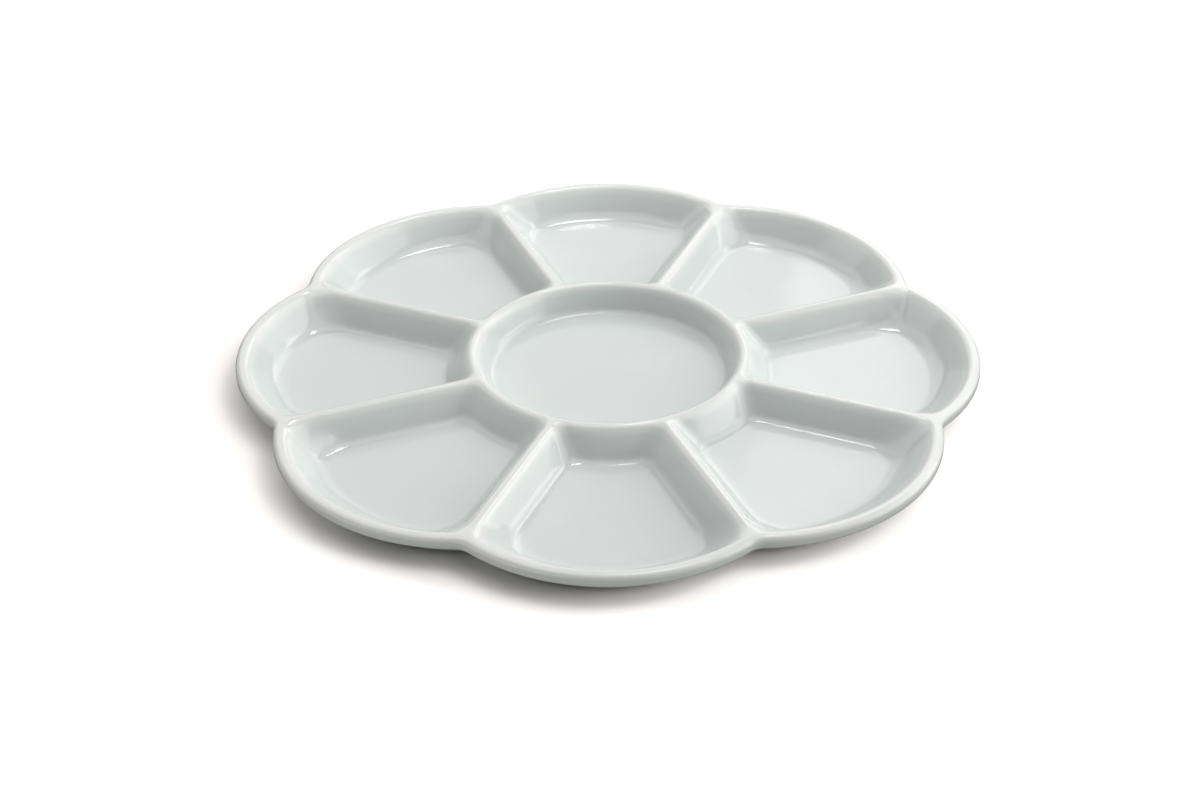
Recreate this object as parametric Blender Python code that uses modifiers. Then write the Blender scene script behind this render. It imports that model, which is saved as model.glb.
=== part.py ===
"""A mixing palette of glazed porcelain: eight petal wells around one round well.

Units are metres and +Z is up. The palette stands on z = 0, centred on the Z axis, with petals
pointing along X, along Y and between them. It is one pressed clay body under two coats of glaze.
"""

from math import atan2, cos, pi, radians, sin, sqrt, tan

import bmesh
import bpy
from mathutils import Matrix, Vector

# Plan
TIP_RADIUS = 0.089          # from the centre to the tip of a petal
NOTCH_RADIUS = 0.08205      # from the centre to the notch between two petals
RING_RADIUS = 0.0327        # crest line of the wall around the round well
SIDE_HALF_ANGLE = radians(22.5)     # the petals on the X axis
END_HALF_ANGLE = radians(22.2)      # the petals on the Y axis are a little narrower

# Heights
PETAL_DEPTH = 0.0066
CENTRE_DEPTH = 0.0062
FLOOR_THICKNESS = 0.0028
FOOT_HEIGHT = 0.0009
HEIGHT = PETAL_DEPTH + FLOOR_THICKNESS + FOOT_HEIGHT

# Walls: each slope is measured from the horizontal, each foot is the fillet onto the floor
CREST_RADIUS = 0.00185
RIDGE_SLOPE = radians(54)
RIDGE_FOOT = 0.003
RIM_SLOPE = radians(44)
RIM_FOOT = 0.007
CENTRE_SLOPE = radians(65)
CENTRE_FOOT = 0.0025

# Corners of a petal well, seen from above: radius at the crest, radius at the floor
RING_CORNER = (0.0025, 0.0035)
RIM_CORNER = (0.0030, 0.0070)

# Lip and underside
LIP_RADIUS = 0.0011         # outside the rim's crest line, beyond a narrow flat top
LIP_BAND = 0.0009           # upright outer side of the lip, between its two roundings
UNDER_SLOPE = radians(39)   # flatter than the rim's inner wall, so that the wall thins from the lip
BELLY_RADIUS = 0.005        # where the sloping underside turns flat
FOOT_OUTER = 0.0576
FOOT_INNER = 0.0544

# Glaze
GLAZE = 0.00035
GAP = 0.0003                # kept between the glaze and the clay under it
GLAZE_END = 0.0005          # height of the glaze line on the foot ring
BODY_SKIN = GLAZE + GAP     # how far the clay lies under the glazed surface

# Colours and roughness
BISCUIT = ((0.80, 0.78, 0.73), 0.6)
COAT = ((0.76, 0.80, 0.77), 0.15)
BASE = ((0.76, 0.79, 0.76), 0.15)

# Facets
LOBE_STEPS = 8
CORNER_STEPS = 2
RING_STEPS = 2
RIM_STEPS = 4
CREST_STEPS = 2
FILLET_STEPS = 3
LIP_STEPS = 3
UNDERLIP_STEPS = 2
BELLY_STEPS = 2
CENTRE_SEGMENTS = 48
SHARP_ANGLE = radians(35)
MERGE_DISTANCE = 0.00001    # closes a turned piece on its axis

OVERRUN = 0.00015           # a cutter passes its crest line by this, so that the crest closes
CUT_ABOVE = 0.001           # a cutter's reach above and below the piece


def clear_scene():
    for item in list(bpy.data.objects):
        bpy.data.objects.remove(item)


def new_collection(name):
    collection = bpy.data.collections.new(name)
    bpy.context.scene.collection.children.link(collection)
    return collection


def new_object(name, mesh, collection):
    item = bpy.data.objects.new(name, mesh)
    collection.objects.link(item)
    return item


def ceramic(name, colour, roughness):
    material = bpy.data.materials.new(name)
    material.use_nodes = True
    shader = material.node_tree.nodes["Principled BSDF"]
    shader.inputs["Base Color"].default_value = (*colour, 1.0)
    shader.inputs["Roughness"].default_value = roughness
    shader.inputs["Metallic"].default_value = 0.0
    return material


def finish(item, material):
    """Smooth shading, with an edge where the surface really turns."""
    item.data.materials.append(material)
    item.data.shade_smooth()
    item.data.set_sharp_from_angle(angle=SHARP_ANGLE)


def mark_as_cutter(item):
    item.hide_render = True
    item.display_type = "WIRE"


def cut(item, collection):
    boolean = item.modifiers.new("Wells", "BOOLEAN")
    boolean.operation = "DIFFERENCE"
    boolean.operand_type = "COLLECTION"
    boolean.collection = collection
    boolean.solver = "EXACT"


def loft(name, rings):
    """A closed solid through rings of equally many points, capped at both ends."""
    surface = bmesh.new()
    loops = [[surface.verts.new(point) for point in ring] for ring in rings]
    surface.faces.new(loops[0])
    surface.faces.new(loops[-1])
    for upper, lower in zip(loops, loops[1:]):
        for index in range(len(upper)):
            after = (index + 1) % len(upper)
            surface.faces.new((upper[index], upper[after], lower[after], lower[index]))
    bmesh.ops.recalc_face_normals(surface, faces=surface.faces)
    mesh = bpy.data.meshes.new(name)
    surface.to_mesh(mesh)
    surface.free()
    return mesh


def turned(name, profile, collection):
    """A solid of revolution, from (radius, height) points that end on the Z axis."""
    mesh = bpy.data.meshes.new(name)
    points = [(radius, 0.0, height) for radius, height in profile]
    mesh.from_pydata(points, [(index, index + 1) for index in range(len(points) - 1)], [])
    item = new_object(name, mesh, collection)
    screw = item.modifiers.new("Turn", "SCREW")
    screw.steps = CENTRE_SEGMENTS
    screw.render_steps = CENTRE_SEGMENTS
    screw.use_merge_vertices = True
    screw.merge_threshold = MERGE_DISTANCE
    return item


def steps(start, end, count):
    """Evenly spaced values, both ends included."""
    return [start + (end - start) * index / count for index in range(count + 1)]


def arc(centre, radius, start, end, count):
    """Plan points along an arc, both ends included."""
    return [centre + radius * Vector((cos(angle), sin(angle))) for angle in steps(start, end, count)]


# The wall of a well

def wall_width(depth, slope, foot):
    """Plan distance from a crest line to where the wall's fillet meets the floor."""
    curved_fall = (CREST_RADIUS + foot) * (1 - cos(slope))
    straight = (depth - curved_fall) / sin(slope)
    return (CREST_RADIUS + foot) * sin(slope) + straight * cos(slope)


def wall_inset(fall, depth, slope, foot, skin):
    """Plan distance from a crest line to the wall, at a fall below the top of the crest.

    The wall is a rounded crest, a straight slope and a fillet. Skin is how far under the glazed
    surface it lies.
    """
    crest = CREST_RADIUS - skin
    fillet = foot + skin
    below_centre = CREST_RADIUS - fall
    above_floor = depth + skin - fall
    if below_centre >= crest * cos(slope):
        return sqrt(max(crest ** 2 - below_centre ** 2, 0.0))
    if above_floor <= fillet * (1 - cos(slope)):
        rise = fillet - above_floor
        return wall_width(depth, slope, foot) - sqrt(max(fillet ** 2 - rise ** 2, 0.0))
    down_slope = crest * cos(slope) - below_centre
    return crest * sin(slope) + down_slope / tan(slope)


def wall_falls(depth, slope, foot, skin):
    """Falls below the top of the crest at which a well is given an outline."""
    crest = CREST_RADIUS - skin
    fillet = foot + skin
    rounded = [skin + crest * (1 - cos(angle)) for angle in steps(0, slope, CREST_STEPS)]
    filleted = [depth + skin - fillet * (1 - cos(angle)) for angle in steps(slope, 0, FILLET_STEPS)]
    return rounded[1:] + filleted


# Petals

def petals():
    """Axis direction and half angle of each petal, anticlockwise from +X."""
    between = (pi / 2 - SIDE_HALF_ANGLE - END_HALF_ANGLE) / 2
    first_quarter = [(0.0, SIDE_HALF_ANGLE), (SIDE_HALF_ANGLE + between, between)]
    second_quarter = [(pi / 2, END_HALF_ANGLE), (pi - SIDE_HALF_ANGLE - between, between)]
    half_turn = first_quarter + second_quarter
    return half_turn + [(axis + pi, half_angle) for axis, half_angle in half_turn]


def lobe(half_angle):
    """Centre distance and radius of the circle through a petal's tip and its two notches."""
    to_notch = NOTCH_RADIUS * cos(half_angle)
    centre = (TIP_RADIUS ** 2 - NOTCH_RADIUS ** 2) / (2 * (TIP_RADIUS - to_notch))
    return centre, TIP_RADIUS - centre


def ridge_crossing(half_angle, centre, radius):
    """Where a circle on the petal's axis crosses the ridge beside it."""
    return centre * cos(half_angle) + sqrt(radius ** 2 - (centre * sin(half_angle)) ** 2)


def petal_outline(half_angle, ring_inset, ridge_inset, rim_inset, ring_corner, rim_corner):
    """Plan of a well whose axis is +X, its four walls standing in from their crest lines."""
    centre, radius = lobe(half_angle)
    middle = Vector((centre, 0.0))
    inner = RING_RADIUS + ring_inset
    outer = radius - CREST_RADIUS - rim_inset
    along = Vector((cos(half_angle), sin(half_angle)))
    inward = Vector((sin(half_angle), -cos(half_angle)))
    inner_offset = ridge_inset + ring_corner
    outer_offset = ridge_inset + rim_corner
    to_inner = sqrt((inner + ring_corner) ** 2 - inner_offset ** 2)
    aside = outer_offset - middle.dot(inward)
    to_outer = middle.dot(along) + sqrt((outer - rim_corner) ** 2 - aside ** 2)
    inner_corner = to_inner * along + inner_offset * inward
    outer_corner = to_outer * along + outer_offset * inward
    inner_turn = atan2(inner_corner.y, inner_corner.x)
    outer_turn = atan2(outer_corner.y, outer_corner.x - centre)
    facing_ridge = half_angle + pi / 2
    half = arc(Vector((0.0, 0.0)), inner, 0.0, inner_turn, RING_STEPS)[:-1]
    half += arc(inner_corner, ring_corner, inner_turn + pi, facing_ridge, CORNER_STEPS)
    half += arc(outer_corner, rim_corner, facing_ridge, outer_turn, CORNER_STEPS)
    half += arc(middle, outer, outer_turn, 0.0, RIM_STEPS)[1:]
    mirrored = [Vector((point.x, -point.y)) for point in reversed(half[1:-1])]
    return half + mirrored


def corner_at(corner, fall, skin):
    """A well corner's radius in plan, at a fall below the top of the crest."""
    at_crest, at_floor = corner
    return at_crest + (at_floor - at_crest) * fall / PETAL_DEPTH + skin


def petal_cutter(name, axis, half_angle, skin, collection):
    """The hollow of one petal well, reaching above the palette."""
    def ring(height, insets, fall):
        corners = (corner_at(RING_CORNER, fall, skin), corner_at(RIM_CORNER, fall, skin))
        return [(point.x, point.y, height) for point in petal_outline(half_angle, *insets, *corners)]

    past = (-OVERRUN, -OVERRUN, -OVERRUN)
    rings = [ring(HEIGHT + CUT_ABOVE, past, 0.0), ring(HEIGHT - skin, past, 0.0)]
    for fall in wall_falls(PETAL_DEPTH, RIM_SLOPE, RIM_FOOT, skin):
        ridge_inset = wall_inset(fall, PETAL_DEPTH, RIDGE_SLOPE, RIDGE_FOOT, skin)
        rim_inset = wall_inset(fall, PETAL_DEPTH, RIM_SLOPE, RIM_FOOT, skin)
        rings.append(ring(HEIGHT - fall, (ridge_inset, ridge_inset, rim_inset), fall))
    item = new_object(name, loft(name, rings), collection)
    item.rotation_euler.z = axis
    mark_as_cutter(item)


def centre_cutter(name, skin, collection):
    """The hollow of the round well, reaching above the palette."""
    profile = [(0.0, HEIGHT + CUT_ABOVE)]
    profile.append((RING_RADIUS + OVERRUN, HEIGHT + CUT_ABOVE))
    profile.append((RING_RADIUS + OVERRUN, HEIGHT - skin))
    for fall in wall_falls(CENTRE_DEPTH, CENTRE_SLOPE, CENTRE_FOOT, skin):
        inset = wall_inset(fall, CENTRE_DEPTH, CENTRE_SLOPE, CENTRE_FOOT, skin)
        profile.append((RING_RADIUS - inset, HEIGHT - fall))
    profile.append((0.0, HEIGHT - CENTRE_DEPTH - skin))
    mark_as_cutter(turned(name, profile, collection))


def well_cutters(label, skin):
    collection = new_collection("cutters_" + label)
    centre_cutter("cut_centre_" + label, skin, collection)
    for number, (axis, half_angle) in enumerate(petals(), start=1):
        petal_cutter(f"cut_petal_{number}_{label}", axis, half_angle, skin, collection)
    return collection


# The blank: the palette before its wells are sunk

def lobed_ring(inset, height):
    """Outline of all eight petals, drawn in from the outer edge."""
    around = petals()
    points = []
    for index, (axis, half_angle) in enumerate(around):
        centre, radius = lobe(half_angle)
        before = around[index - 1][1]
        before_centre, before_radius = lobe(before)
        own_notch = ridge_crossing(half_angle, centre, radius - inset)
        other_notch = ridge_crossing(before, before_centre, before_radius - inset)
        notch = (own_notch + other_notch) / 2
        points.append(notch * Vector((cos(axis - half_angle), sin(axis - half_angle))))
        turn = atan2(own_notch * sin(half_angle), own_notch * cos(half_angle) - centre)
        petal = arc(Vector((centre, 0.0)), radius - inset, -turn, turn, LOBE_STEPS)
        points += [Matrix.Rotation(axis, 2) @ point for point in petal[1:-1]]
    return [(point.x, point.y, height) for point in points]


def round_ring(radius, height):
    """A circle whose points lie on the same spokes as those of a lobed ring."""
    spokes = [Vector((x, y)).normalized() * radius for x, y, _ in lobed_ring(0.0, 0.0)]
    return [(point.x, point.y, height) for point in spokes]


def blank(name, skin, foot_end, recessed):
    """The lobed plate on its foot, its surface lying a skin's thickness under the glazed one."""
    lip = LIP_RADIUS - skin
    band_top = HEIGHT - LIP_RADIUS
    band_end = band_top - LIP_BAND
    rings = [lobed_ring(LIP_RADIUS - lip * sin(angle), band_top + lip * cos(angle))
             for angle in steps(0.0, pi / 2, LIP_STEPS)]
    rings += [lobed_ring(LIP_RADIUS - lip * sin(angle), band_end + lip * cos(angle))
              for angle in steps(pi / 2, pi - UNDER_SLOPE, UNDERLIP_STEPS)]
    slope_fall = band_end - LIP_RADIUS * cos(UNDER_SLOPE) - FOOT_HEIGHT
    belly_start = LIP_RADIUS * (1 - sin(UNDER_SLOPE)) + slope_fall / tan(UNDER_SLOPE)
    belly_inset = belly_start + BELLY_RADIUS * (1 - cos(UNDER_SLOPE)) / sin(UNDER_SLOPE)
    belly = BELLY_RADIUS - skin
    for angle in steps(UNDER_SLOPE, 0.0, BELLY_STEPS):
        inset = belly_inset - belly * sin(angle)
        rings.append(lobed_ring(inset, FOOT_HEIGHT + BELLY_RADIUS - belly * cos(angle)))
    rings.append(round_ring(FOOT_OUTER - skin, FOOT_HEIGHT + skin))
    rings.append(round_ring(FOOT_OUTER - skin, foot_end))
    if recessed:
        rings.append(round_ring(FOOT_INNER + skin, foot_end))
        rings.append(round_ring(FOOT_INNER + skin, FOOT_HEIGHT + skin))
    return loft(name, rings)


# The three pieces

def porcelain_body(parts):
    """Unglazed clay: it stands on its bare foot ring."""
    name = "porcelain_body"
    item = new_object(name, blank(name, BODY_SKIN, 0.0, recessed=True), parts)
    cut(item, well_cutters("body", BODY_SKIN))
    finish(item, ceramic("biscuit_porcelain", *BISCUIT))


def glaze_coat(parts):
    """Glaze over the wells, the rim and the underside, down to the glaze line on the foot."""
    core_name = "glaze_coat_core"
    cores = new_collection("cutters_glaze_coat")
    core = new_object(core_name, blank(core_name, GLAZE, -CUT_ABOVE, recessed=False), cores)
    cut(core, well_cutters("glaze_inside", GLAZE))
    mark_as_cutter(core)
    name = "glaze_coat"
    item = new_object(name, blank(name, 0.0, GLAZE_END, recessed=False), parts)
    cut(item, well_cutters("glaze_outside", 0.0))
    cut(item, cores)
    finish(item, ceramic("celadon_white_glaze", *COAT))


def base_glaze(parts):
    """Glaze inside the foot ring: a shallow cap that turns down the ring's inner side."""
    ceiling = FOOT_HEIGHT + GLAZE
    profile = [
        (0.0, ceiling),
        (FOOT_INNER + GLAZE, ceiling),
        (FOOT_INNER + GLAZE, GLAZE_END),
        (FOOT_INNER, GLAZE_END),
        (FOOT_INNER, FOOT_HEIGHT),
        (0.0, FOOT_HEIGHT),
    ]
    item = turned("base_glaze", profile, parts)
    finish(item, ceramic("base_glaze", *BASE))


clear_scene()
palette = new_collection("mixing_palette")
porcelain_body(palette)
glaze_coat(palette)
base_glaze(palette)
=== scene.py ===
"""The looks of the glazed porcelain mixing palette, in metres, in the frame of its CAD model."""

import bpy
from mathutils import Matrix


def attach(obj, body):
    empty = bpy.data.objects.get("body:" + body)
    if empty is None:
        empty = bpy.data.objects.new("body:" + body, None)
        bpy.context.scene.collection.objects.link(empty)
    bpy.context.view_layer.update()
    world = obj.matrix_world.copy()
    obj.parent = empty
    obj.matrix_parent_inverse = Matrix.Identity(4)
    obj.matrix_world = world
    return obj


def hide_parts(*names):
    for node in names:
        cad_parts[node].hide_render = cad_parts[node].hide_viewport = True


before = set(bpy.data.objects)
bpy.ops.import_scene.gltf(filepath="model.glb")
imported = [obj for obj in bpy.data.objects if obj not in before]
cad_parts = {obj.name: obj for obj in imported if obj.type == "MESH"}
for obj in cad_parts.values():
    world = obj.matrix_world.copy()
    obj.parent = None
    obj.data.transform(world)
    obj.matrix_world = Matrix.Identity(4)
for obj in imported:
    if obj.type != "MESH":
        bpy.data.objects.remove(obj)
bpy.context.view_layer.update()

from math import atan2, cos, pi, radians, sin, sqrt, tan

import bpy
import numpy as np
from mathutils import Matrix, Vector

# Plan
TIP_RADIUS = 0.089
NOTCH_RADIUS = 0.08205
NOTCH_SOFTENING = 0.0016
RING_RADIUS = 0.0327
SIDE_HALF_ANGLE = radians(22.5)
END_HALF_ANGLE = radians(22.2)

# Heights
PETAL_DEPTH = 0.0066
CENTRE_DEPTH = 0.0062
FLOOR_THICKNESS = 0.0028
FOOT_HEIGHT = 0.0009
HEIGHT = PETAL_DEPTH + FLOOR_THICKNESS + FOOT_HEIGHT

# Walls
CREST_RADIUS = 0.00185
RIDGE_WALL = (PETAL_DEPTH, radians(54), 0.003)      # depth, slope, radius of the foot
RIM_WALL = (PETAL_DEPTH, radians(44), 0.007)
CENTRE_WALL = (CENTRE_DEPTH, radians(65), 0.0025)
RING_CORNER = (0.0025, 0.0035)                      # radius at the crest, radius at the floor
RIM_CORNER = (0.0030, 0.0070)

# Lip and underside
LIP_RADIUS = 0.0011
LIP_BAND = 0.0009
UNDER_SLOPE = radians(39)
BELLY_RADIUS = 0.005
FOOT_OUTER = 0.0576
FOOT_INNER = 0.0544
FOOT_FILLET = 0.0003
FOOT_EDGE = 0.0002
GLAZE_END = 0.0005           # height of the glaze line on the foot ring
BARE_TOP = 0.0004            # the bare clay goes up behind the glaze's edge
GLAZE = 0.00035
CLAY_SKIN = 0.00038          # how far under the glazed surface the clay is drawn
ROLLED_EDGE = ((0.00006, 0.00010), (0.00018, 0.00014), (0.00029, 0.00010))      # into the glaze, down

# Unevenness of the fired clay
SAGS = ((0.00010, 2, 0.6), (0.00005, 3, 2.1), (0.00003, 7, -pi / 2))     # height, waves round, start
RIPPLE_HEIGHT = 0.00003
RIPPLE_X = (170.0, 1.0)      # radians per metre, start
RIPPLE_Y = (140.0, 0.4)
SWIRL = (0.00012, 3, 1.3)    # sideways shift at the tips, waves round, start

# Mesh
COLUMNS_PER_PETAL = 56
CROWDING = 0.4               # how much closer together the columns are beside a ridge
CENTRE_ROWS = 36
PETAL_ROWS = 92
UPPER_LIP_ROWS = 9
LOWER_LIP_ROWS = 7
BELLY_ROWS = 7
SLOPE_PARTS = (0.33, 0.67)             # places of the rows down the slope of the underside
FLAT_PARTS = (0.3, 0.6, 0.85, 1.0)     # and in along its flat
FOOT_ROWS = 5
BASE_ROWS = 14
BACK_STEP = 3                # the glaze's hidden side takes every third row
CLAY_STEP = 2                # the clay under it takes every second
POLE = 0.0006                # radius of the innermost row


# Profile of a well's wall: a rounded crest, a straight slope and a fillet onto the floor

def wall_width(wall):
    depth, slope, foot = wall
    curved = CREST_RADIUS + foot
    return curved * sin(slope) + (depth - curved * (1 - cos(slope))) / tan(slope)


def fall_at(inset, wall):
    """Depth below the crest at a plan distance inwards from the crest line."""
    depth, slope, foot = wall
    from_floor = np.clip(wall_width(wall) - inset, 0.0, None)
    on_crest = CREST_RADIUS - np.sqrt(np.clip(CREST_RADIUS ** 2 - inset ** 2, 0.0, None))
    on_slope = CREST_RADIUS * (1 - cos(slope)) + (inset - CREST_RADIUS * sin(slope)) * tan(slope)
    on_foot = depth - foot + np.sqrt(np.clip(foot ** 2 - from_floor ** 2, 0.0, None))
    fall = np.where(inset < CREST_RADIUS * sin(slope), on_crest, on_slope)
    fall = np.where(from_floor < foot * sin(slope), on_foot, fall)
    return np.where(inset <= 0.0, 0.0, fall)


def inset_at(fall, wall):
    """The plan distance at which a wall has fallen that far."""
    depth, slope, foot = wall
    on_crest = np.sqrt(np.clip(CREST_RADIUS ** 2 - (CREST_RADIUS - fall) ** 2, 0.0, None))
    on_slope = CREST_RADIUS * sin(slope) + (fall - CREST_RADIUS * (1 - cos(slope))) / tan(slope)
    rise = np.clip(foot - (depth - fall), 0.0, foot)
    on_foot = wall_width(wall) - np.sqrt(foot ** 2 - rise ** 2)
    inset = np.where(fall < CREST_RADIUS * (1 - cos(slope)), on_crest, on_slope)
    return np.where(depth - fall < foot * (1 - cos(slope)), on_foot, inset)


def rounded_corner(one, other, corner):
    """Two walls' insets as one, with the corner between them rounded, more so towards the floor."""
    at_crest, at_floor = corner
    growth = (at_floor - at_crest) / wall_width(RIDGE_WALL)
    lean = 1 + growth
    a, b = at_crest - one, at_crest - other
    square = 2 * lean ** 2 - growth ** 2
    linear = lean * (a + b) - growth * at_crest
    rest = a ** 2 + b ** 2 - at_crest ** 2
    root = (-linear + np.sqrt(np.clip(linear ** 2 - square * rest, 0.0, None))) / square
    nearer, further = np.minimum(one, other), np.maximum(one, other)
    beside = further >= nearer * lean + at_crest
    return np.where(beside, nearer, root)


# Plan

def petals():
    between = (pi / 2 - SIDE_HALF_ANGLE - END_HALF_ANGLE) / 2
    first = [(0.0, SIDE_HALF_ANGLE), (SIDE_HALF_ANGLE + between, between)]
    second = [(pi / 2, END_HALF_ANGLE), (pi - SIDE_HALF_ANGLE - between, between)]
    half_turn = first + second
    return half_turn + [(axis + pi, half_angle) for axis, half_angle in half_turn]


def lobe(half_angle):
    to_notch = NOTCH_RADIUS * cos(half_angle)
    centre = (TIP_RADIUS ** 2 - NOTCH_RADIUS ** 2) / (2 * (TIP_RADIUS - to_notch))
    return centre, TIP_RADIUS - centre


def columns():
    """Petal number and place across the petal, from -1 to 1, of each column."""
    even = np.arange(COLUMNS_PER_PETAL) / COLUMNS_PER_PETAL * 2 - 1
    across = (1 + CROWDING) * even - CROWDING * even ** 3
    return [(number, place) for number in range(len(PETALS)) for place in across]


PETALS = petals()
COLUMNS = columns()


def lobed(inset):
    """Every column's point on the outline of the petals, drawn in by an inset, notches softened."""
    points = []
    for number, place in COLUMNS:
        axis, half_angle = PETALS[number]
        beside = number - 1 if place < 0 else (number + 1) % len(PETALS)
        beside_axis, beside_half = PETALS[beside]
        centre, radius = lobe(half_angle)
        to_notch = (radius - inset) ** 2 - (centre * sin(half_angle)) ** 2
        notch = centre * cos(half_angle) + sqrt(to_notch)
        turn = place * atan2(notch * sin(half_angle), notch * cos(half_angle) - centre)
        own = Vector((centre + (radius - inset) * cos(turn), (radius - inset) * sin(turn)))
        azimuth = axis + atan2(own.y, own.x)
        swing = azimuth - beside_axis
        beside_centre, beside_radius = lobe(beside_half)
        reach = (beside_radius - inset) ** 2 - (beside_centre * sin(swing)) ** 2
        other = beside_centre * cos(swing) + sqrt(max(reach, 0.0))
        blend = max(NOTCH_SOFTENING - abs(own.length - other), 0.0) / NOTCH_SOFTENING
        reach = max(own.length, other) if blend else own.length
        reach += blend ** 2 * NOTCH_SOFTENING / 4
        points.append((reach * cos(azimuth), reach * sin(azimuth)))
    return np.array(points)


AZIMUTH = np.arctan2(*lobed(0.0).T[::-1])
OUTWARD = np.stack([np.cos(AZIMUTH), np.sin(AZIMUTH)], axis=1)


def ring_points(radius):
    """Every column's point on a circle, where the column starts out from the round well."""
    angles = np.array([PETALS[number][0] + place * PETALS[number][1] for number, place in COLUMNS])
    return radius * np.stack([np.cos(angles), np.sin(angles)], axis=1)


def petal_fall(points):
    """Depth below the crests at plan points between the ring and the rim."""
    number = np.array([number for number, _ in COLUMNS])
    axis = np.array([PETALS[n][0] for n in number])
    half_angle = np.array([PETALS[n][1] for n in number])
    centre = np.array([lobe(PETALS[n][1])[0] for n in number])
    radius = np.array([lobe(PETALS[n][1])[1] for n in number])
    along = points[..., 0] * np.cos(axis) + points[..., 1] * np.sin(axis)
    aside = np.abs(points[..., 1] * np.cos(axis) - points[..., 0] * np.sin(axis))
    from_ring = np.hypot(along, aside) - RING_RADIUS
    from_ridge = along * np.sin(half_angle) - aside * np.cos(half_angle)
    from_rim = radius - CREST_RADIUS - np.hypot(along - centre, aside)
    beyond = np.clip(from_rim - wall_width(RIM_WALL), 0.0, None)
    like_ridge = inset_at(fall_at(from_rim, RIM_WALL), RIDGE_WALL) + beyond
    inner = rounded_corner(from_ring, from_ridge, RING_CORNER)
    outer = rounded_corner(like_ridge, from_ridge, RIM_CORNER)
    return fall_at(np.minimum(inner, outer), RIDGE_WALL)


# The surface, as rows of one point per column: from the middle of the round well over the ring, the
# petals and the lip, and back along the underside to the middle

def spread(length, spacing, count, samples=4001):
    """Distances from 0 to a length, as close together as spacing(distance) asks."""
    fine = np.linspace(0.0, length, samples)
    density = 1 / spacing(fine)
    total = np.concatenate([[0.0], np.cumsum((density[1:] + density[:-1]) / 2)])
    return np.interp(np.linspace(0.0, total[-1], count + 1), total, fine)


def row(points, height):
    """One row of the surface: plan points at a height, or at a height each."""
    return np.column_stack([points, np.broadcast_to(height, len(points))])


def centre_rows():
    """From the middle of the round well up to its crest line, close together on the wall."""
    wall, stretch = 0.0085, 0.02
    on_wall, growth = 0.2, 2.5

    def spacing(distance):
        return on_wall + growth * np.clip((distance - wall) / stretch, 0, 1)

    insets = spread(RING_RADIUS - POLE, spacing, CENTRE_ROWS)[::-1]
    heights = HEIGHT - fall_at(insets, CENTRE_WALL)
    return [row(ring_points(RING_RADIUS - inset), height) for inset, height in zip(insets, heights)]


def petal_rows():
    """From the ring's crest line to the rim's, close together on the two walls."""
    length = TIP_RADIUS - CREST_RADIUS - RING_RADIUS
    ring_wall, rim_wall, stretch = 0.007, 0.01, 0.008
    on_wall, growth = 0.25, 1.2

    def spacing(distance):
        past_ring_wall = np.clip((distance - ring_wall) / stretch, 0, 1)
        before_rim_wall = np.clip((length - distance - rim_wall) / stretch, 0, 1)
        return on_wall + growth * np.minimum(past_ring_wall, before_rim_wall)

    inner, outer = ring_points(RING_RADIUS), lobed(CREST_RADIUS)
    parts = spread(length, spacing, PETAL_ROWS)[1:] / length
    plans = [inner + part * (outer - inner) for part in parts]
    return [row(points, HEIGHT - petal_fall(points)) for points in plans]


def underside_rows():
    """Round the lip, down the sloping underside and in along its flat to the foot ring."""
    band_top = HEIGHT - LIP_RADIUS
    band_end = band_top - LIP_BAND
    upper = [(band_top, angle) for angle in np.linspace(0.0, pi / 2, UPPER_LIP_ROWS)]
    lower = [(band_end, angle) for angle in np.linspace(pi / 2, pi - UNDER_SLOPE, LOWER_LIP_ROWS)]
    lip = [Vector((LIP_RADIUS * (1 - sin(angle)), height + LIP_RADIUS * cos(angle)))
           for height, angle in upper + lower]
    slope_run = (lip[-1].y - FOOT_HEIGHT) / tan(UNDER_SLOPE)
    belly = lip[-1].x + slope_run + BELLY_RADIUS * (1 - cos(UNDER_SLOPE)) / sin(UNDER_SLOPE)
    belly_height = FOOT_HEIGHT + BELLY_RADIUS
    curve = [Vector((belly - BELLY_RADIUS * sin(angle), belly_height - BELLY_RADIUS * cos(angle)))
             for angle in np.linspace(UNDER_SLOPE, 0.0, BELLY_ROWS)]
    straight = [lip[-1].lerp(curve[0], part) for part in SLOPE_PARTS]
    rows = [row(lobed(inset), height) for inset, height in lip + straight + curve]
    flat_start = lobed(belly)
    flat_end = OUTWARD * (FOOT_OUTER + FOOT_FILLET)
    flat = [flat_start + part * (flat_end - flat_start) for part in FLAT_PARTS]
    return rows + [row(points, FOOT_HEIGHT) for points in flat]


def foot_profile(side):
    """From the flat underside down one side of the foot ring: (radius, height) points."""
    radius = FOOT_OUTER if side > 0 else FOOT_INNER
    centre, centre_height = radius + side * FOOT_FILLET, FOOT_HEIGHT - FOOT_FILLET
    fillet = [(centre - side * FOOT_FILLET * sin(angle), centre_height + FOOT_FILLET * cos(angle))
              for angle in np.linspace(0.0, pi / 2, FOOT_ROWS)[1:]]
    return fillet + [(radius, GLAZE_END)]


def circle_rows(profile):
    return [row(OUTWARD * radius, height) for radius, height in profile]


def normals_of(rows):
    """Outward unit normals of a grid of rows."""
    grid = np.array(rows)
    along = np.roll(grid, -1, axis=1) - np.roll(grid, 1, axis=1)
    down = np.gradient(grid, axis=0)
    normal = np.cross(down, along)
    return normal / np.maximum(np.linalg.norm(normal, axis=2, keepdims=True), 1e-12)


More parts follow.
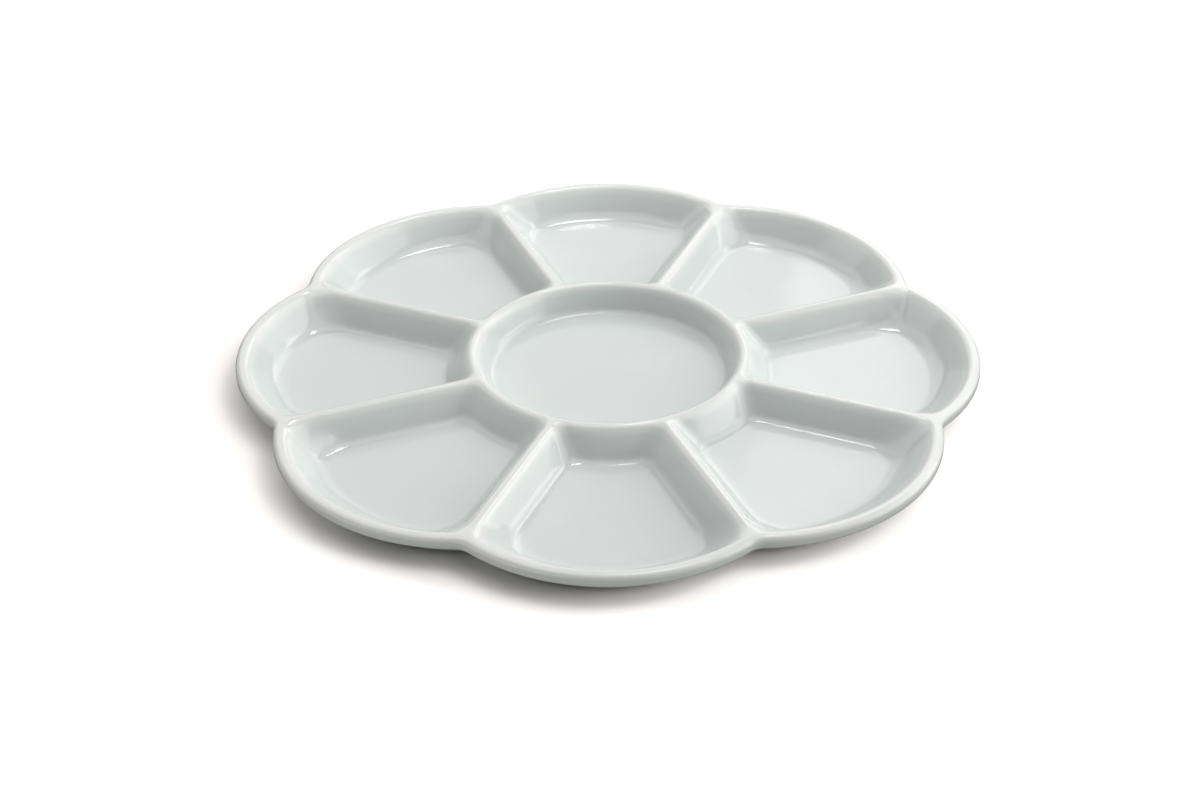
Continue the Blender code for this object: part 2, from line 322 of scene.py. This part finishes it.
def warp(points):
    """The slight unevenness of fired clay. It fades out towards the foot ring."""
    x, y, z = points.T
    lift = np.clip(z / HEIGHT, 0.0, 1.0)
    far = np.hypot(x, y) / TIP_RADIUS
    turn = np.arctan2(y, x)
    sag = sum(height * np.cos(waves * turn + start) for height, waves, start in SAGS)
    (per_x, start_x), (per_y, start_y) = RIPPLE_X, RIPPLE_Y
    ripple = RIPPLE_HEIGHT * np.sin(x * per_x + start_x) * np.sin(y * per_y + start_y)
    shift, waves, start = SWIRL
    swirl = shift * np.sin(waves * turn + start) * far ** 2 * lift
    moved_x = x - y / TIP_RADIUS * swirl
    moved_y = y + x / TIP_RADIUS * swirl
    return np.column_stack([moved_x, moved_y, z + lift * (sag * far ** 2 + ripple)])


def grid_piece(name, rows, first_height, last_height):
    """A closed mesh through rows of points, its first and last rows drawn in to a point each."""
    count = len(COLUMNS)
    here = np.arange(count)
    after = (here + 1) % count
    last = (len(rows) - 1) * count
    faces = []
    for start in range(0, last, count):
        below = start + count
        quads = [start + here, below + here, below + after, start + after]
        faces += np.stack(quads, axis=1).tolist()
    first_pole = last + count
    last_pole = first_pole + 1
    sides = list(zip(here.tolist(), after.tolist()))
    faces += [[first_pole, one, other] for one, other in sides]
    faces += [[last_pole, last + other, last + one] for one, other in sides]
    points = np.concatenate(rows + [[[0.0, 0.0, first_height], [0.0, 0.0, last_height]]])
    mesh = bpy.data.meshes.new(name)
    mesh.from_pydata(warp(points), [], faces)
    mesh.shade_smooth()
    item = bpy.data.objects.new(name, mesh)
    bpy.context.scene.collection.objects.link(item)
    return item


# The three pieces

def skin(rows, thickness, every=1):
    """The surface a thickness under some rows, through one in every few of them, read backwards."""
    grid, normals = np.array(rows), normals_of(rows)
    picked = list(range(0, len(rows) - 1, every)) + [len(rows) - 1]
    return [grid[index] - normals[index] * thickness for index in reversed(picked)]


def rolled_end(radius, side):
    """The thick rounded edge where the glaze stops on the foot ring."""
    return circle_rows([(radius - side * into, GLAZE_END - drop) for into, drop in ROLLED_EDGE])


def bare_foot():
    """The ring's standing edge, from outside to inside, a little rounded."""
    outer, inner = FOOT_OUTER - CLAY_SKIN, FOOT_INNER + CLAY_SKIN
    turns = np.linspace(0.0, pi / 2, FOOT_ROWS)
    edge = [(FOOT_EDGE * (1 - cos(turn)), FOOT_EDGE * (1 - sin(turn))) for turn in turns]
    outside = [(outer, BARE_TOP)] + [(outer - into, height) for into, height in edge]
    inside = [(inner, BARE_TOP)] + [(inner + into, height) for into, height in edge]
    return circle_rows(outside + inside[::-1])


well_height = HEIGHT - CENTRE_DEPTH
outer_rows = centre_rows() + petal_rows() + underside_rows() + circle_rows(foot_profile(+1))
base_flat = [(radius, FOOT_HEIGHT) for radius in np.linspace(FOOT_INNER - FOOT_FILLET, POLE, BASE_ROWS)]
inner_rows = circle_rows(foot_profile(-1)[::-1] + base_flat)

coat_rows = outer_rows + rolled_end(FOOT_OUTER, +1) + skin(outer_rows, GLAZE, BACK_STEP)
coat = grid_piece("glaze_coat_surface", coat_rows, well_height, well_height - GLAZE)
base_rows = skin(inner_rows, GLAZE) + rolled_end(FOOT_INNER, -1)[::-1] + inner_rows
base = grid_piece("base_glaze_surface", base_rows, FOOT_HEIGHT + GLAZE, FOOT_HEIGHT)
under_coat, under_base = skin(outer_rows, CLAY_SKIN, CLAY_STEP), skin(inner_rows, CLAY_SKIN)
clay_rows = under_coat[::-1] + bare_foot() + under_base[::-1]
body = grid_piece("porcelain_body_clay", clay_rows, well_height - CLAY_SKIN, FOOT_HEIGHT + CLAY_SKIN)

for piece, node, slot in (
    (coat, "glaze_coat", "glaze"),
    (base, "base_glaze", "base_glaze"),
    (body, "porcelain_body", "biscuit"),
):
    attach(piece, "root")
    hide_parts(node)


# Materials

THIN_GLAZE = (0.875, 0.887, 0.867, 1.0)
THIN_BASE_GLAZE = (0.86, 0.872, 0.852, 1.0)
# The pooled colour is partly the glaze's real green where it runs thick and partly painted shade,
# darker so that the wells read darker than the crests.
POOLED_AND_SHADED_GLAZE = (0.743, 0.787, 0.768, 1.0)
THICKENS_AND_SHADES = 0.0002            # how far below the crests the glaze starts to thicken and the painted shade starts
FULL_POOL_AND_SHADE = 0.0025              # and how far below them it has its full thickness and the painted shade its full darkness
PINHOLE = (0.55, 0.52, 0.46, 1.0)
LIGHT_CLAY = (0.74, 0.69, 0.60, 1.0)
DARK_CLAY = (0.66, 0.60, 0.51, 1.0)
GRIT = (0.28, 0.22, 0.16, 1.0)
NOISE = (0.3, 0.7)           # what the value of a noise mostly keeps to


class Nodes:
    """Short calls for building a material's nodes."""

    def __init__(self, name):
        self.material = bpy.data.materials.new(name)
        self.material.use_nodes = True
        self.tree = self.material.node_tree
        self.shader = self.tree.nodes["Principled BSDF"]
        self.object = self.add("ShaderNodeTexCoord").outputs["Object"]

    def add(self, kind, links=(), **settings):
        node = self.tree.nodes.new(kind)
        for key, value in settings.items():
            setattr(node, key, value)
        for socket, value in dict(links).items():
            self.set(node.inputs[socket], value)
        return node

    def set(self, socket, value):
        if isinstance(value, bpy.types.NodeSocket):
            self.tree.links.new(value, socket)
        else:
            socket.default_value = value

    def noise(self, scale, detail):
        links = {"Vector": self.object, "Scale": scale, "Detail": detail}
        return self.add("ShaderNodeTexNoise", links).outputs["Fac"]

    def ramp(self, value, low, high, to_low=0.0, to_high=1.0, smooth=False):
        links = {0: value, 1: low, 2: high, 3: to_low, 4: to_high}
        kind = "SMOOTHSTEP" if smooth else "LINEAR"
        return self.add("ShaderNodeMapRange", links, interpolation_type=kind).outputs[0]

    def maths(self, operation, one, other):
        return self.add("ShaderNodeMath", {0: one, 1: other}, operation=operation).outputs[0]

    def mix(self, factor, one, other):
        """A mix of two colours. The numbers are those of a mix node's colour sockets."""
        node = self.add("ShaderNodeMix", data_type="RGBA")
        self.set(node.inputs[0], factor)
        self.set(node.inputs[6], one)
        self.set(node.inputs[7], other)
        return node.outputs[2]

    def height(self):
        return self.add("ShaderNodeSeparateXYZ", {0: self.object}).outputs["Z"]

    def bumps(self, layers):
        """Bump from several (height, strength, distance) layers, one on top of another."""
        normal = None
        for value, strength, distance in layers:
            links = {"Height": value, "Strength": strength, "Distance": distance}
            node = self.add("ShaderNodeBump", links)
            if normal:
                self.set(node.inputs["Normal"], normal)
            normal = node.outputs["Normal"]
        self.set(self.shader.inputs["Normal"], normal)

    def specks(self, scale, share, radius):
        """1 on a few small round specks, 0 elsewhere."""
        cells = self.add("ShaderNodeTexVoronoi", {"Vector": self.object, "Scale": scale})
        edge = radius * scale
        spot = self.ramp(cells.outputs["Distance"], edge, edge / 2, smooth=True)
        red = self.add("ShaderNodeSeparateColor", {0: cells.outputs["Color"]}).outputs[0]
        return self.maths("MULTIPLY", spot, self.maths("LESS_THAN", red, share))


def glaze(name, thin, pooled_and_shaded):
    """Glossy glaze: whiter where it runs thin over a crest, faintly green where it pools, and darker in
    the wells as painted shade.
    """
    n = Nodes(name)
    # Painted shade: the colour turns darker and greener with depth below the crests, so the wells'
    # walls and floors come out darker than the crests.
    deep_and_shaded = n.ramp(n.height(), HEIGHT - THICKENS_AND_SHADES, HEIGHT - FULL_POOL_AND_SHADE, smooth=True)
    drift = n.ramp(n.noise(scale=38.0, detail=3.0), *NOISE, to_low=-0.18, to_high=0.18)
    colour = n.mix(n.maths("ADD", deep_and_shaded, drift), thin, pooled_and_shaded)
    pinholes = n.specks(scale=150.0, share=0.03, radius=0.00014)
    n.set(n.shader.inputs["Base Color"], n.mix(pinholes, colour, PINHOLE))
    roughness = n.ramp(n.noise(scale=55.0, detail=4.0), *NOISE, to_low=0.07, to_high=0.14)
    n.set(n.shader.inputs["Roughness"], roughness)
    waves = (n.noise(scale=70.0, detail=1.0), 1.0, 0.00013)
    ripples = (n.noise(scale=240.0, detail=1.0), 1.0, 0.000018)
    grain = (n.noise(scale=900.0, detail=2.0), 1.0, 0.000003)
    n.bumps([waves, ripples, grain])
    n.shader.inputs["IOR"].default_value = 1.5
    return n.material


def biscuit(name):
    """Unglazed fired porcelain, slightly sandy to the touch."""
    n = Nodes(name)
    patches = n.ramp(n.noise(scale=420.0, detail=4.0), low=0.35, high=0.65)
    colour = n.mix(patches, LIGHT_CLAY, DARK_CLAY)
    grit = n.specks(scale=900.0, share=0.12, radius=0.00012)
    n.set(n.shader.inputs["Base Color"], n.mix(grit, colour, GRIT))
    roughness = n.ramp(n.noise(scale=300.0, detail=3.0), *NOISE, to_low=0.62, to_high=0.85)
    n.set(n.shader.inputs["Roughness"], roughness)
    n.bumps([(n.noise(scale=2500.0, detail=3.0), 0.7, 0.00003)])
    return n.material


coat.data.materials.append(glaze("glaze", THIN_GLAZE, POOLED_AND_SHADED_GLAZE))
base.data.materials.append(glaze("base_glaze", THIN_BASE_GLAZE, POOLED_AND_SHADED_GLAZE))
body.data.materials.append(biscuit("biscuit"))


# Studio: a pale floor, soft lights and the camera

FLOOR_RADIUS = 0.6                          # as far as the lights keep the floor white
FLOOR_SIDES = 64
FLOOR_COLOUR = (0.96, 0.93, 0.91, 1.0)
FLOOR_BOUNCE = (0.2, 0.195, 0.19, 1.0)      # the floor's colour as far as it lights the palette
SKY_STRENGTH = 0.135

# Lights: name, azimuth, elevation, distance, width, height, power.
# Azimuth 0 is behind the palette and 90 to its right.
PALETTE_LIGHTS = (
    ("window_high", 8, 56, 1.0, 0.15, 0.15, 0.8),
    ("window_right", 38, 40, 1.0, 0.18, 0.18, 0.3),
    ("overhead", 0, 82, 1.2, 0.9, 0.9, 3.3),
    ("back_left", 305, 48, 1.2, 0.8, 0.7, 1.9),
    ("back", 0, 30, 0.7, 0.6, 0.3, 0.63),
    ("back_right", 28, 30, 0.7, 0.4, 0.3, 0.41),
    ("right", 80, 35, 0.9, 1.0, 0.7, 3.9),
    ("low_right", 90, 15, 0.8, 0.9, 0.35, 1.5),
    ("card_left", 225, 6, 0.6, 0.7, 0.12, 0.75),
    ("card_right", 135, 6, 0.6, 0.7, 0.12, 0.25),
)
FLOOR_LIGHTS = (
    ("paper_overhead", 0, 85, 1.5, 2.0, 2.0, 19.5),
    ("paper_front", 140, 45, 1.5, 1.0, 0.8, 8.2),
    ("paper_right", 95, 38, 2.0, 0.6, 0.6, 8.0),
    ("paper_right_high", 130, 58, 2.0, 0.6, 0.6, 7.0),
    ("paper_low_right", 104, 22, 1.5, 1.0, 0.4, 12.0),
    ("paper_low_left", 300, 24, 1.5, 0.6, 0.4, 4.0),
)

SENSOR_WIDTH = 36.0
FOCAL_LENGTH = 60.74
CAMERA_PLACE = (-0.001195, -0.415147, 0.252822 + HEIGHT)
CAMERA_FORWARD = (-0.0015147, 0.8407352, -0.5414445)
CAMERA_ROLL = radians(-0.21)


def floor():
    mesh = bpy.data.meshes.new("floor")
    turns = [2 * pi * side / FLOOR_SIDES for side in range(FLOOR_SIDES)]
    edge = [(FLOOR_RADIUS * cos(turn), FLOOR_RADIUS * sin(turn), 0) for turn in turns]
    mesh.from_pydata(edge, [], [tuple(range(FLOOR_SIDES))])
    item = bpy.data.objects.new("floor", mesh)
    bpy.context.scene.collection.objects.link(item)
    n = Nodes("floor")
    bounced = n.add("ShaderNodeLightPath").outputs["Is Diffuse Ray"]
    n.set(n.shader.inputs["Base Color"], n.mix(bounced, FLOOR_COLOUR, FLOOR_BOUNCE))
    n.shader.inputs["Roughness"].default_value = 0.9
    n.shader.inputs["Specular IOR Level"].default_value = 0.0
    mesh.materials.append(n.material)
    item.visible_glossy = False
    return item


def softbox(name, lit, azimuth, elevation, distance, width, height, power):
    """A rectangular soft light facing the palette, which lights only what is in a collection."""
    data = bpy.data.lights.new(name, "AREA")
    data.shape = "RECTANGLE"
    data.size, data.size_y = width, height
    data.energy = power
    item = bpy.data.objects.new(name, data)
    turn, rise = radians(azimuth), radians(elevation)
    towards = Vector((sin(turn) * cos(rise), cos(turn) * cos(rise), sin(rise)))
    item.location = towards * distance
    item.rotation_mode = "QUATERNION"
    item.rotation_quaternion = towards.to_track_quat("Z", "Y")
    item.visible_camera = False
    item.light_linking.receiver_collection = lit
    bpy.context.scene.collection.objects.link(item)


def sky(strength):
    """A surround that the camera sees as white, and that gives just a little light."""
    world = bpy.data.worlds.new("studio")
    world.use_nodes = True
    nodes, links = world.node_tree.nodes, world.node_tree.links
    background = nodes["Background"]
    background.inputs["Color"].default_value = (1.0, 1.0, 1.0, 1.0)
    seen = nodes.new("ShaderNodeMath")
    seen.operation = "MULTIPLY_ADD"
    seen.inputs[1].default_value = 1.0 - strength
    seen.inputs[2].default_value = strength
    links.new(nodes.new("ShaderNodeLightPath").outputs["Is Camera Ray"], seen.inputs[0])
    links.new(seen.outputs[0], background.inputs["Strength"])
    bpy.context.scene.world = world


def camera():
    data = bpy.data.cameras.new("camera")
    data.sensor_width = SENSOR_WIDTH
    data.lens = FOCAL_LENGTH
    data.clip_start, data.clip_end = 0.01, 30.0
    item = bpy.data.objects.new("camera", data)
    forward = Vector(CAMERA_FORWARD).normalized()
    level = forward.cross(Vector((0, 0, 1))).normalized()
    upright = level.cross(forward)
    right = level * cos(CAMERA_ROLL) + upright * sin(CAMERA_ROLL)
    up = upright * cos(CAMERA_ROLL) - level * sin(CAMERA_ROLL)
    item.matrix_world = Matrix((right, up, -forward)).transposed().to_4x4()
    item.location = CAMERA_PLACE
    bpy.context.scene.collection.objects.link(item)
    bpy.context.scene.camera = item


def receivers(name, items):
    """A collection of the objects that some lights are for."""
    group = bpy.data.collections.new(name)
    for item in items:
        group.objects.link(item)
    return group


for lit, lights in (
    (receivers("palette", [coat, base, body]), PALETTE_LIGHTS),
    (receivers("table", [floor()]), FLOOR_LIGHTS),
):
    for name, *settings in lights:
        softbox(name, lit, *settings)
sky(SKY_STRENGTH)
camera()
bpy.context.scene.view_settings.view_transform = "Standard"
